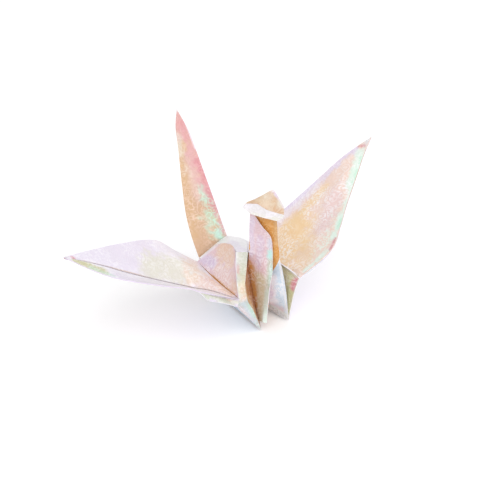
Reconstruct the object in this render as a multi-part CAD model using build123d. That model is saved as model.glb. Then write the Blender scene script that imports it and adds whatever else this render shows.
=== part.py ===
"""A paper crane folded from one square sheet.

Units are millimetres and +Z is up. The crane faces -Y with its neck, the tail points to +Y and
the wings spread along X. The origin lies under the middle of the crane's box, on the surface
that the crane stands on.
"""
import os
from math import cos, radians, sin, tan

from build123d import *

# The square sheet and the angles of its creases
sheet_side = 75.0
wing_half_angle = 22.5
narrowing_angle = 11.25

# Paper thickness, counted in plies
ply = 0.11
wing_plies = 2
panel_plies = 2
wall_plies = 3
gusset_plies = 2
leaf_plies = 4
fold_bulge = 0.11
slit_half_width = 0.1
panel_inset = 0.02
lap = 0.14

# Left wing, which is bent up a little along its middle crease
left_wing_length = 32.7
left_wing_root = (-9.1, 0.7, 6.4)
left_wing_rise = 30.5
left_wing_sweep = 0.9
left_wing_back_roll = 16.5
left_wing_front_roll = 16.5

# Right wing, which is flat and lifts more
right_wing_length = 29.5
right_wing_root = (4.4, 0.2, 8.5)
right_wing_rise = 30.6
right_wing_sweep = 17.8
right_wing_back_roll = -7.0
right_wing_front_roll = 7.0

# Bottom creases, where the neck and the tail are folded up between the walls
foot_half_width = 2.85
foot_front = 5.9
foot_back = 6.4
notch_offset = 0.8
notch_half_width = 3.4
tail_foot_half_width = 4.0
notch_rise = 0.9

# Hump, the raised middle of the sheet
hump_height = 13.7
hump_offset = -1.6
hump_front = 1.4
hump_back = 7.0
hump_back_drop = 1.2
shoulder_height = 13.6
shoulder_share = 0.52
shoulder_back_lift = 0.9
front_edge_height = 12.0
front_edge_reach = 7.1
front_edge_share = 0.22

# Neck, a folded leaf pair whose open side faces forward and right. Each edge runs from low to high.
neck_spine_foot_offset = (-0.4, -0.6, 0.0)
neck_spine_top = (-2.6, -1.8, 22.3)
neck_left_edge = ((-1.6, -6.5, 5.0), (-0.2, -5.6, 14.6), (-0.3, -5.0, 18.6), (-2.1, -3.0, 22.3))
neck_right_edge = ((2.4, -6.2, 5.4), (1.0, -6.0, 14.6), (1.1, -5.5, 18.0), (1.0, -5.5, 22.2))

# Head, the neck's tip turned over to the left
head_crown = (0.4, -4.5, 27.9)
head_right = (2.2, -5.8, 23.6)
head_throat = (1.2, -6.0, 22.0)
head_ridge = (-1.8, -5.5, 25.2)
head_rim = (-3.3, -4.6, 24.0)
beak_tip = (-4.9, -3.2, 25.3)
beak_top = (-3.1, -2.6, 25.6)

# Back layer of the head, which the neck's two leaves run up into
head_back = ((-2.5, -1.8, 21.5), (1.0, -5.4, 21.6), (2.0, -5.5, 24.0), (0.3, -4.3, 27.5),
             (-2.9, -2.4, 25.3))

# Tail, a folded leaf pair whose open side faces back
tail_tip = (-3.0, 24.3, 30.4)
tail_spread = 4.6
tail_spine_height = 2.4
tail_spine_setback = 1.0
tail_bend_share = 0.33
tail_leaf_angle = 62.0
tail_fold_plies = 3.2


def direction(rise, sweep, side):
    """Unit vector along a wing, from its root to its tip."""
    return Vector(
        side * cos(radians(rise)) * cos(radians(sweep)),
        cos(radians(rise)) * sin(radians(sweep)),
        sin(radians(rise)),
    )


def paper(points, panels, thickness, lift=0.0):
    """One closed solid of the given thickness on a surface of triangles and quads.

    points holds the corners of the surface, and panels the indices round each panel. lift moves
    the surface off its corners along its own normal, so that one layer lies on another. Corners on
    the surface's own edge lie a lap further in, under the rounded folds that join the layers.
    """
    triangles = []
    for panel in panels:
        for step in range(1, len(panel) - 1):
            triangles.append((panel[0], panel[step], panel[step + 1]))
    used = {corner for triangle in triangles for corner in triangle}
    edges = set()
    for a, b, c in triangles:
        edges.update(((a, b), (b, c), (c, a)))
    free = [edge for edge in edges if (edge[1], edge[0]) not in edges]
    middle = sum((points[corner] for corner in used), Vector(0, 0, 0)) / len(used)
    points = {corner: points[corner] for corner in used}
    for corner in {corner for edge in free for corner in edge}:
        points[corner] += (middle - points[corner]).normalized() * lap
    normals = {corner: Vector(0, 0, 0) for corner in used}
    for a, b, c in triangles:
        area_normal = (points[b] - points[a]).cross(points[c] - points[a])
        for corner in (a, b, c):
            normals[corner] += area_normal
    upper = {}
    lower = {}
    for corner, normal in normals.items():
        unit = normal.normalized()
        upper[corner] = points[corner] + unit * (lift + thickness / 2)
        lower[corner] = points[corner] + unit * (lift - thickness / 2)
    faces = []
    for a, b, c in triangles:
        faces.append(Face(Wire.make_polygon([upper[a], upper[b], upper[c]])))
        faces.append(Face(Wire.make_polygon([lower[a], lower[c], lower[b]])))
    for start, end in free:
        faces.append(Face(Wire.make_polygon([upper[start], lower[start], lower[end]])))
        faces.append(Face(Wire.make_polygon([upper[start], lower[end], upper[end]])))
    return Solid(Shell(faces))


def fold(start, end, thickness):
    """The rounded paper along a crease from start to end."""
    run = end - start
    plane = Plane(origin=start, z_dir=run)
    return Solid.make_cylinder(thickness / 2 + fold_bulge, run.length, plane)


class Wing:
    """Corners of one wing, worked out from the creases of the sheet."""

    def __init__(self, root, length, rise, sweep, back_roll, front_roll, side):
        axis = direction(rise, sweep, side)
        across = (Vector(0, 1, 0) - axis * axis.Y).normalized()
        up = axis.cross(across) * side
        half_width_share = tan(radians(wing_half_angle))
        narrow_share = tan(radians(narrowing_angle))
        corner_height = sheet_side * half_width_share / (half_width_share + narrow_share)
        corner_width = corner_height * narrow_share
        root_width = (sheet_side - length) * narrow_share
        back = across * cos(radians(back_roll)) + up * sin(radians(back_roll))
        front = across * -cos(radians(front_roll)) + up * sin(radians(front_roll))
        self.side = side
        self.root = Vector(*root)
        self.tip = self.root + axis * length
        corner = self.tip - axis * (sheet_side - corner_height)
        self.back_corner = corner + back * corner_width
        self.front_corner = corner + front * corner_width
        self.back_root = self.root + back * root_width
        self.front_root = self.root + front * root_width
        self.axis = axis
        self.back = back
        self.front = front

    def solids(self):
        """The smooth outer layer and the two inner panels that meet at the slit."""
        outer = wing_plies * ply
        inner = panel_plies * ply
        corners = [self.tip, self.back_corner, self.back_root, self.root, self.front_root,
                   self.front_corner]
        panels = [(0, 1, 3), (1, 2, 3), (0, 3, 5), (3, 4, 5)]
        if self.side > 0:
            panels = [tuple(reversed(panel)) for panel in panels]
        layers = [paper(corners, panels, outer)]
        lift = -outer / 2
        for edge, across in ((1, self.back), (5, self.front)):
            slit = across * slit_half_width
            tip_inset = self.axis * (slit_half_width / tan(radians(wing_half_angle)))
            near_tip = self.tip + slit - tip_inset
            near_root = self.root + slit
            root_end = corners[2] if edge == 1 else corners[4]
            half = [near_tip, corners[edge], root_end, near_root]
            middle = sum(half, Vector(0, 0, 0)) / len(half)
            half = [mix(corner, middle, panel_inset) for corner in half]
            panel = (0, 1, 2, 3) if edge == 1 else (3, 2, 1, 0)
            if self.side > 0:
                panel = tuple(reversed(panel))
            layers.append(paper(half, [panel], inner, lift))
        return layers


def mix(a, b, share):
    """The point that lies share of the way from a to b."""
    return a + (b - a) * share


def build_crane():
    """All layers of the folded sheet, fused into one solid."""
    left = Wing(left_wing_root, left_wing_length, left_wing_rise, left_wing_sweep,
                left_wing_back_roll, left_wing_front_roll, -1)
    right = Wing(right_wing_root, right_wing_length, right_wing_rise, right_wing_sweep,
                 right_wing_back_roll, right_wing_front_roll, 1)
    wall = wall_plies * ply
    gusset = gusset_plies * ply
    leaf = leaf_plies * ply
    layers = left.solids() + right.solids()

    ridge_front = Vector(hump_offset, hump_front, hump_height)
    ridge_back = Vector(hump_offset, hump_back, hump_height - hump_back_drop)
    neck_notch = Vector(0, notch_offset, notch_rise)
    neck_spine_foot = neck_notch + Vector(*neck_spine_foot_offset)
    spine_top = Vector(*neck_spine_top)
    tail_spine_foot = Vector(0, notch_offset + tail_spine_setback, tail_spine_height)

    hump_sides = {}
    for wing in (left, right):
        side = wing.side
        foot = Vector(side * foot_half_width, -foot_front, 0)
        tail_foot = Vector(side * tail_foot_half_width, foot_back, 0)
        notch = Vector(side * notch_half_width, notch_offset, 0)
        # Outer wall, from the bottom creases up to the wing's root
        corners = [foot, notch, tail_foot, wing.back_root, wing.root, wing.front_root]
        panels = [(0, 1, 4, 5), (1, 2, 3, 4)]
        layers.append(paper(corners, panels, wall))
        # Edge of the hump, from the wing's root up over the shoulder
        front_edge = mix(wing.front_root, ridge_front, front_edge_share)
        front_edge = Vector(front_edge.X, -front_edge_reach, front_edge_height)
        shoulder_front = mix(wing.front_root, ridge_front, shoulder_share)
        shoulder_front = Vector(shoulder_front.X, shoulder_front.Y, shoulder_height)
        shoulder_back = mix(wing.back_root, ridge_back, shoulder_share)
        shoulder_back += Vector(0, 0, shoulder_back_lift)
        hump_sides[side] = [wing.front_root, wing.root, wing.back_root, shoulder_back, shoulder_front,
                            front_edge, foot, tail_foot]
        # Neck leaf, folded up from the bottom crease
        edge = neck_left_edge if side < 0 else neck_right_edge
        corners = [foot] + [Vector(*point) for point in edge] + [spine_top, neck_spine_foot, notch]
        panels = [(0, 1, 6, 7), (1, 2, 6), (2, 3, 5, 6), (3, 4, 5)]
        layers.append(paper(corners, panels, leaf))
        layers.append(fold(foot, notch, leaf))
        layers.append(fold(notch, tail_foot, leaf))
        layers.append(fold(wing.front_root, wing.root, wall))
        layers.append(fold(wing.root, wing.back_root, wall))
        layers.append(fold(wing.front_root, foot, wall))
        layers.append(fold(wing.back_root, tail_foot, wall))
        layers.append(fold(wing.front_root, front_edge, gusset))
        layers.append(fold(front_edge, ridge_front, gusset))
        layers.append(fold(foot, neck_notch, gusset))
        layers.append(fold(tail_foot, tail_spine_foot, gusset))
        # Tail leaf
        across = Vector(side * sin(radians(tail_leaf_angle)), cos(radians(tail_leaf_angle)), 0)
        spine_middle = mix(tail_spine_foot, Vector(*tail_tip), tail_bend_share)
        open_middle = spine_middle + across * tail_spread
        corners = [tail_foot, open_middle, Vector(*tail_tip), spine_middle, tail_spine_foot, notch]
        panels = [(0, 1, 3, 4), (1, 2, 3), (0, 4, 5)]
        layers.append(paper(corners, panels, leaf))
    layers.append(fold(neck_spine_foot, spine_top, leaf))
    layers.append(fold(ridge_front, neck_notch, gusset))
    layers.append(fold(tail_spine_foot, Vector(*tail_tip), tail_fold_plies * ply))
    # The hump and the back gussets below it are one sheet. The front gussets close the hump towards
    # the neck: each runs from the front edge of its wall to the middle.
    corners = [ridge_front, ridge_back, neck_notch, tail_spine_foot] + hump_sides[-1] + hump_sides[1]
    panels = []
    for first, flip in ((4, False), (12, True)):
        (front_root, root, back_root, shoulder_back, shoulder_front,
         front_edge, foot, tail_foot) = range(first, first + 8)
        half = [(front_root, root, shoulder_front), (root, back_root, shoulder_back, shoulder_front),
                (front_root, shoulder_front, front_edge), (shoulder_back, 1, 0, shoulder_front),
                (shoulder_front, 0, front_edge), (back_root, 1, shoulder_back),
                (1, back_root, tail_foot, 3)]
        front = [(front_edge, 0, 2, foot), (front_root, front_edge, foot)]
        layers.append(paper(corners, front, gusset))
        panels += [tuple(reversed(panel)) for panel in half] if flip else half
    layers.append(paper(corners, panels, gusset))

    # Head: the neck runs on to the crown, and the beak folds over it to the left
    head = [Vector(*head_crown), Vector(*head_right), Vector(*head_throat), Vector(*head_ridge),
            Vector(*head_rim), Vector(*beak_tip), Vector(*beak_top)]
    panels = [(6, 0, 3), (0, 1, 3), (3, 1, 2), (3, 2, 4), (6, 3, 5), (3, 4, 5)]
    layers.append(paper(head, panels, leaf))
    corners = [Vector(*point) for point in head_back]
    layers.append(paper(corners, [(0, 1, 2), (0, 2, 3), (0, 3, 4)], leaf))

    crane = layers[0]
    for layer in layers[1:]:
        crane = crane.fuse(layer)
    box = crane.bounding_box()
    return crane.translate(Vector(-box.center().X, -box.center().Y, -box.min.Z))


if __name__ == "__main__":
    os.makedirs("parts", exist_ok=True)
    crane = build_crane()
    print("solids", len(crane.solids()), "volume", round(crane.volume, 2), crane.bounding_box())
    export_step(crane, "parts/folded_crane.step")
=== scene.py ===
"""A paper crane folded from pearly embossed film paper, dressed over its CAD frame.

Every layer of the folded sheet is a ply: a few facets stretched between rails. A Geometry Nodes
tree buckles each ply a little and gives it the paper's thickness, and the plies become one piece,
which takes the place of the CAD node. Rails and tints are in millimetres in the folding frame,
and FOLD_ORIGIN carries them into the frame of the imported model.
"""

import logging
import math
from dataclasses import dataclass, field
from enum import Enum

import bmesh
import bpy
from mathutils import Matrix, Vector, noise

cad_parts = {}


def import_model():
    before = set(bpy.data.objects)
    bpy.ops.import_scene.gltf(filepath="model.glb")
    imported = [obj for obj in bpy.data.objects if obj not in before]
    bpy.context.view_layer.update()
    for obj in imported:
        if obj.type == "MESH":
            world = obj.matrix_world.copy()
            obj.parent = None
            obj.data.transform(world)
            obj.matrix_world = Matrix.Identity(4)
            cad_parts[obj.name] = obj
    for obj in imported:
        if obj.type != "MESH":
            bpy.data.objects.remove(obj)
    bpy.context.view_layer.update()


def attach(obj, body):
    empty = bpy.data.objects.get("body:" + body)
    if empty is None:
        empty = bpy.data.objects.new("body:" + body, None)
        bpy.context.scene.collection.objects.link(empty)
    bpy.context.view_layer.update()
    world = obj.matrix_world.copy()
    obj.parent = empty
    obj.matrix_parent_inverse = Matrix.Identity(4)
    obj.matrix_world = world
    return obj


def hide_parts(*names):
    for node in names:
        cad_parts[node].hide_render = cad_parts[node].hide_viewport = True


LOG = logging.getLogger("crane")

Point = tuple[float, float, float]
Rail = tuple[Point, ...]
Colour = tuple[float, ...]

# Metres in a millimetre, and the smallest length that divides another
MM = 0.001
TINY = 1e-6
FOLD_ORIGIN = Vector((4.340, -7.891, 0.330))
PURE_WHITE = (1.0, 1.0, 1.0, 1.0)

# A tint's edge: how steeply it fades, and the coarse and fine noise that frays it
FADE = 1.5
FRAY_COARSE = 0.9
FRAY_FINE = 2.3
FRAY_FINE_SHARE = 0.6

# The value that a noise swings about, and the gain on a ply's buckle, because the swing is small
NOISE_MIDDLE = 0.5
BUCKLE_GAIN = 4.0

# Sockets of a Mix node that is set to colour
MIX_FACTOR, MIX_A, MIX_B, MIX_RESULT = 0, 6, 7, 2


class Shade(Enum):
    """Named shades of the film paper, and of the painted shade in its hollows, as sRGB hex."""

    PEARL = "F6F1FB"
    LILAC = "E6D9F0"
    VIOLET = "D9CBE9"
    CREAM = "EAE7DA"
    BUFF = "DCCFA8"
    PEACH = "EFCDB4"
    NACRE = "F4D9CB"
    APRICOT = "F8D6A4"
    ICE = "E6F8EC"
    BLUSH = "E9CAD0"
    PINK = "DFA6A8"
    ROSE = "D98690"
    MINT = "C4EED6"
    CYAN = "C6F3EC"
    BLUE = "D3E4F4"
    SAGE = "D0D6C4"
    OLIVE = "CFCB98"
    TAN = "D9B390"
    SAND = "D9B07E"
    AMBER = "EFC48C"
    # Painted shade: the next three darken hollows, pockets, slits and the inner faces of folds, the
    # first with a painted warm glow of bounced light
    HOLLOW_SHADE = "DD9A45"
    DEEP_SHADE = "B56D2C"
    BROWN = "8A4C1C"
    GREY = "CDCBCC"
    FROST = "C9D1CD"
    MIST = "E6E1E2"
    WHITE = "FAF9FB"

    def linear(self) -> Colour:
        """Scene-linear red, green and blue, by the sRGB curve."""
        parts = [int(self.value[i:i + 2], 16) / 255 for i in (0, 2, 4)]
        return tuple(c / 12.92 if c <= 0.04045 else ((c + 0.055) / 1.055) ** 2.4 for c in parts)


class Side(Enum):
    """Which face of a ply a tint lies on, or which a face belongs to."""

    UPPER = "upper"
    UNDER = "under"
    BOTH = "both"
    CUT = "cut edge"


@dataclass(frozen=True)
class Tint:
    """A soft spot of one shade on a ply, or a band where it has an end, in millimetres."""

    shade: Shade
    start: Point
    reach: float
    strength: float = 1.0
    end: Point | None = None
    ragged: float = 0.35
    side: Side = Side.UPPER

    def weight(self, place: Vector) -> float:
        """How strongly the tint covers a place.

        Args:
            place: the place in the folding frame, in millimetres.

        Returns:
            A share from 0 to strength.
        """
        nearest = start = Vector(self.start)
        if self.end is not None:
            run = Vector(self.end) - start
            share = (place - start).dot(run) / max(run.length_squared, TINY)
            nearest = start + run * min(max(share, 0.0), 1.0)
        distance = (place - nearest).length / self.reach
        fine = FRAY_FINE_SHARE * noise.noise(place * FRAY_FINE)
        distance += self.ragged * (noise.noise(place * FRAY_COARSE) + fine)
        share = min(max(FADE - distance * FADE, 0.0), 1.0)
        return self.strength * share * share * (3 - 2 * share)

    def covers(self, side: Side) -> bool:
        """True where the tint lies on that side of the ply."""
        return self.side in (side, Side.BOTH)


@dataclass(frozen=True)
class Glints(Tint):
    """A spot or band in which the painted highlights on the embossed crests take another shade."""

    ragged: float = 0.5
    side: Side = Side.BOTH


@dataclass(frozen=True)
class Facet:
    """A patch stretched between rails that all have the same number of points."""

    rails: tuple[Rail, ...]
    curved: bool = True

    def sample(self, cell: float) -> list[list[Vector]]:
        """Rows of points over the facet.

        Args:
            cell: the wanted distance between points, in millimetres.

        Returns:
            One row for each step across the rails, all of the same length.
        """
        rails = [[Vector(point) for point in rail] for rail in self.rails]
        spans = len(rails[0]) - 1
        along: list[tuple[int, float]] = []
        for span in range(spans):
            longest = max((rail[span + 1] - rail[span]).length for rail in rails)
            steps = max(1, round(longest / cell))
            along += [(span, step / steps) for step in range(steps)]
        along.append((spans - 1, 1.0))
        lines = [[between(rail, span, share, self.curved) for span, share in along]
                 for rail in rails]
        rows: list[list[Vector]] = []
        for gap, (low, high) in enumerate(zip(lines, lines[1:])):
            widest = max((b - a).length for a, b in zip(low, high))
            steps = max(1, round(widest / cell))
            for step in range(steps):
                rows.append([between([line[i] for line in lines], gap, step / steps, True)
                             for i in range(len(along))])
        rows.append(lines[-1])
        return rows


@dataclass(frozen=True)
class Ply:
    """One layer of paper: its form, its shades and its thickness in millimetres."""

    name: str
    facets: tuple[Facet, ...]
    upper: Shade
    # Where a ply's under face lies inside a fold, its under shade is painted hollow shade
    under: Shade
    tints: tuple[Tint, ...] = ()
    # Spots where the painted highlights on the emboss crests take other shades
    glints: tuple[Glints, ...] = ()
    thickness: float = 0.13
    buckle: float = 0.12
    rim: Shade = Shade.PEARL
    # The shade of the painted highlights on the emboss crests
    glint_shade: Shade = Shade.WHITE


@dataclass
class Wiring:
    """Adds nodes to a tree and wires them up."""

    tree: bpy.types.NodeTree

    def sockets(self, way: str, kind: str, *names: str) -> None:
        """Adds sockets of one kind to the INPUT or OUTPUT side of the tree's own interface."""
        for name in names:
            self.tree.interface.new_socket(name, in_out=way, socket_type=f"NodeSocket{kind}")

    def fill(self, node: bpy.types.Node, inputs: dict[str | int, object]) -> None:
        """Fills a node's inputs.

        Args:
            node: the node.
            inputs: a socket to link from or a value to set, by the input's name or index.
        """
        for key, value in inputs.items():
            if isinstance(value, bpy.types.NodeSocket):
                self.tree.links.new(value, node.inputs[key])
            else:
                node.inputs[key].default_value = value

    def add(self, kind: str, inputs: dict[str | int, object] | None = None,
            **settings: object) -> bpy.types.Node:
        """Adds a node.

        Args:
            kind: the node's type.
            inputs: what fills its inputs.
            **settings: its own settings, made before its inputs are filled.

        Returns:
            The node.
        """
        node = self.tree.nodes.new(kind)
        for name, value in settings.items():
            setattr(node, name, value)
        self.fill(node, inputs or {})
        return node

    def math(self, operation: str, *values: object, clamp: bool = False) -> bpy.types.NodeSocket:
        """The result of a Math node on sockets or numbers."""
        node = self.add("ShaderNodeMath", dict(enumerate(values)), operation=operation,
                        use_clamp=clamp)
        return node.outputs["Value"]

    def mix(self, blend: str, share: object, a: object, b: object) -> bpy.types.NodeSocket:
        """The result of two colours mixed by a share."""
        inputs = {MIX_FACTOR: share, MIX_A: a, MIX_B: b}
        return self.add("ShaderNodeMix", inputs, data_type="RGBA",
                        blend_type=blend).outputs[MIX_RESULT]

    def texture(self, place: object, scale: object, detail: float,
                offset: object) -> bpy.types.NodeSocket:
        """A four-dimensional noise; its offset keeps it apart from the others."""
        inputs = {"Vector": place, "Scale": scale, "Detail": detail, "W": offset}
        return self.add("ShaderNodeTexNoise", inputs, noise_dimensions="4D").outputs["Fac"]


@dataclass(frozen=True)
class Emboss:
    """Squiggles pressed into the paper, its fine grain, and painted highlights that lighten the
    squiggles' crests.

    Each noise is its detail and the offset that keeps it apart from the others.
    """

    name: str = "embossed squiggles"
    squiggle_noise: tuple[float, float] = (1.0, 3.1)
    wander_noise: tuple[float, float] = (2.0, 8.7)
    grain_noise: tuple[float, float] = (2.0, 1.3)
    patch_noise: tuple[float, float] = (1.0, 5.9)
    levels: float = 4.4
    ridge_gain: float = 1.6
    ridge_round: float = 0.3
    ridge_height: float = 0.8
    grain_height: float = 0.35
    crest_power: float = 1.7
    patch_scale: float = 0.35
    patch_floor: float = 0.27
    patch_gain: float = 3.0
    # How much the painted crest highlight lifts the colour
    shade_floor: float = 0.955
    shade_gain: float = 0.06
    shade_cool: float = 0.006
    grain_gloss: float = 0.22
    crest_gloss: float = 0.06

    def group(self) -> bpy.types.NodeTree:
        """Builds the shader group.

        Returns:
            A group that puts out Height, Glint and Shade, which paint highlights onto the crests,
            and Roughness, all varying over the surface.
        """
        wire = Wiring(bpy.data.node_groups.new(self.name, "ShaderNodeTree"))
        wire.sockets("INPUT", "Vector", "Place")
        wire.sockets("INPUT", "Float", "Squiggle Scale", "Warp", "Grain Scale", "Roughness")
        wire.sockets("OUTPUT", "Float", "Height", "Glint", "Roughness")
        wire.sockets("OUTPUT", "Color", "Shade")
        math_node = wire.math
        source = wire.add("NodeGroupInput").outputs
        place, scale = source["Place"], source["Squiggle Scale"]
        squiggle = wire.texture(place, scale, *self.squiggle_noise)
        wander = wire.texture(place, scale, *self.wander_noise)
        grain = wire.texture(place, source["Grain Scale"], *self.grain_noise)
        slow = wire.texture(place, math_node("MULTIPLY", scale, self.patch_scale),
                            *self.patch_noise)
        # A squiggle runs where the warped noise crosses one of several levels: the phase is a half
        # there, and off is how far it is from that
        sway = math_node("MULTIPLY", math_node("SUBTRACT", wander, NOISE_MIDDLE), source["Warp"])
        warped = math_node("ADD", squiggle, sway)
        phase = math_node("FRACT", math_node("MULTIPLY", warped, self.levels))
        off = math_node("ABSOLUTE", math_node("SUBTRACT", phase, 0.5))
        ridge = math_node("SUBTRACT", 1.0, math_node("MULTIPLY", off, 2.0))
        line = math_node("SMOOTH_MIN", math_node("MULTIPLY", ridge, self.ridge_gain), 1.0,
                         self.ridge_round, clamp=True)
        height = math_node("ADD", math_node("MULTIPLY", line, self.ridge_height),
                           math_node("MULTIPLY", grain, self.grain_height))
        # Painted highlights lighten the colour on the crests, more in some patches than in others
        crest = math_node("POWER", ridge, self.crest_power)
        patch = math_node("MULTIPLY", math_node("SUBTRACT", slow, self.patch_floor),
                          self.patch_gain, clamp=True)
        caught = math_node("MULTIPLY", crest, patch)
        lift = math_node("ADD", self.shade_floor, math_node("MULTIPLY", caught, self.shade_gain))
        tone = wire.add("ShaderNodeCombineColor", {
            "Red": lift, "Green": lift, "Blue": math_node("ADD", lift, self.shade_cool)})
        gloss = math_node("MULTIPLY", math_node("SUBTRACT", grain, NOISE_MIDDLE), self.grain_gloss)
        rough = math_node("SUBTRACT", math_node("ADD", source["Roughness"], gloss),
                          math_node("MULTIPLY", crest, self.crest_gloss), clamp=True)
        wire.add("NodeGroupOutput", {
            "Height": height, "Glint": math_node("MULTIPLY", crest, patch, clamp=True),
            "Shade": tone.outputs["Color"], "Roughness": rough})
        return wire.tree


@dataclass(frozen=True)
class PearlPaper:
    """Finish of the embossed film paper."""

    name: str = "pearl_paper"
    emboss: Emboss = Emboss()
    roughness: float = 0.36
    coat: float = 0.25
    coat_roughness: float = 0.18
    specular: float = 0.5
    squiggle_scale: float = 780.0
    squiggle_warp: float = 0.9
    grain_scale: float = 2600.0
    emboss_depth: float = 0.00007
    emboss_strength: float = 0.55
    glint_gain: float = 0.85

    def material(self) -> bpy.types.Material:
        """Builds the paper's node material.

        Returns:
            The material, which reads the tint and glint attributes of a ply and mixes painted
            highlights into the colour on the emboss crests.
        """
        material = bpy.data.materials.new(self.name)
        material.use_nodes = True
        wire = Wiring(material.node_tree)
        place = wire.add("ShaderNodeTexCoord").outputs["Object"]
        tint = wire.add("ShaderNodeAttribute", attribute_name="tint").outputs
        glint = wire.add("ShaderNodeAttribute", attribute_name="glint").outputs
        emboss = wire.add("ShaderNodeGroup", {
            "Place": place, "Squiggle Scale": self.squiggle_scale, "Warp": self.squiggle_warp,
            "Grain Scale": self.grain_scale, "Roughness": self.roughness,
        }, node_tree=self.emboss.group()).outputs
        # Painted highlights: the glint shade mixed in on the emboss crests, and the crests lifted
        # lighter
        amount = wire.math("MULTIPLY", emboss["Glint"], glint["Alpha"])
        caught = wire.math("MULTIPLY", amount, self.glint_gain, clamp=True)
        paint = wire.mix("MIX", caught, tint["Color"], glint["Color"])
        bump = wire.add("ShaderNodeBump", {
            "Strength": self.emboss_strength, "Distance": self.emboss_depth,
            "Height": emboss["Height"]})
        wire.fill(material.node_tree.nodes["Principled BSDF"], {
            "Base Color": wire.mix("MULTIPLY", 1.0, paint, emboss["Shade"]),
            "Roughness": emboss["Roughness"], "Normal": bump.outputs["Normal"],
            "Coat Weight": self.coat, "Coat Roughness": self.coat_roughness,
            "Specular IOR Level": self.specular})
        return material


def between(points: list[Vector], span: int, share: float, curved: bool) -> Vector:
    """A point of a rail.

    Args:
        points: the rail's points.
        span: the index of the stretch.
        share: how far along the stretch, from 0 to 1.
        curved: True for a smooth curve through three points or more.

    Returns:
        The point.
    """
    a, b = points[span], points[span + 1]
    if not curved or len(points) < 3:
        return a.lerp(b, share)
    before = points[span - 1] if span else a + (a - b)
    after = points[span + 2] if span + 2 < len(points) else b + (b - a)
    stretch = (b - a).length
    length = max(stretch, TINY)
    slope_a = (b - before) * (length / max(stretch + (a - before).length, TINY))
    slope_b = (after - a) * (length / max((after - b).length + stretch, TINY))
    t, t2, t3 = share, share ** 2, share ** 3
    return (a * (2 * t3 - 3 * t2 + 1) + slope_a * (t3 - 2 * t2 + t)
            + b * (3 * t2 - 2 * t3) + slope_b * (t3 - t2))


def lifted(rail: Rail, by: Point) -> Rail:
    """A rail moved by a small step."""
    return tuple((x + by[0], y + by[1], z + by[2]) for x, y, z in rail)


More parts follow.
